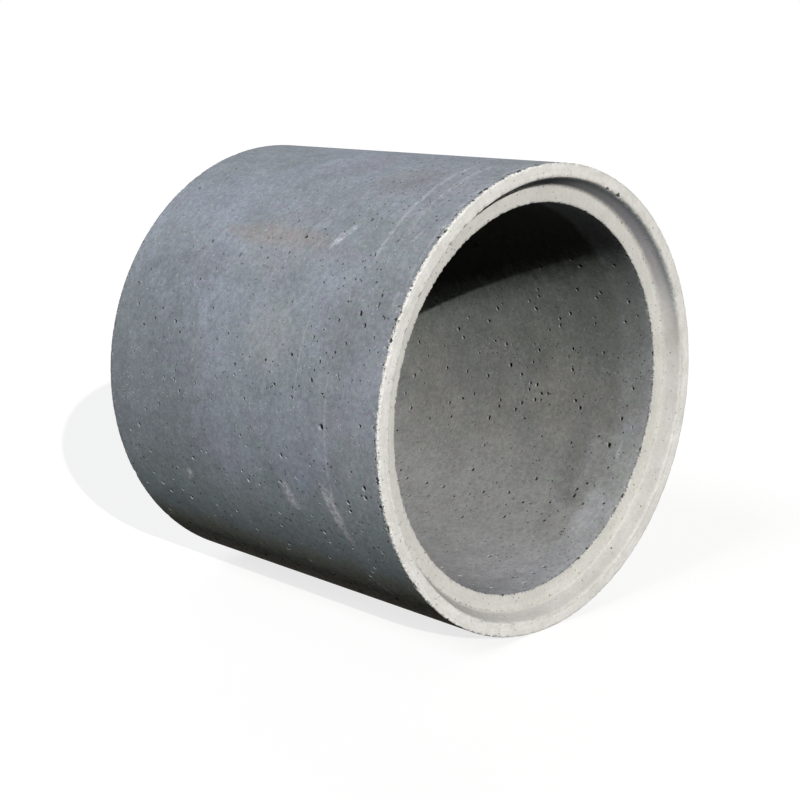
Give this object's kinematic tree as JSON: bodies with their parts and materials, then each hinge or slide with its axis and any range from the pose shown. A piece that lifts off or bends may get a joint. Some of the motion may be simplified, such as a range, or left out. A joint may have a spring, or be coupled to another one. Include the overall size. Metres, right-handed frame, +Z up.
{
  "type": "concrete culvert ring",
  "caption": "Short round precast concrete pipe that lies on its side and carries water under a road, with a rebated socket at one end and a tongue at the other that seats in the next ring.",
  "frame": {"origin": "on the ground, below the middle of the ring's overall length", "axes": "+Y along the ring's axis from the socket to the spigot, +Z up, so the socket faces -Y"},
  "size_m": [1.4392, 1.3, 1.4392],
  "materials": {
    "concrete": "mould-cast grey concrete with open bug holes, paler struck end faces and light bloom streaks"
  },
  "bodies": {
    "root": {"culvert_ring": "concrete"}
  },
  "joints": []
}
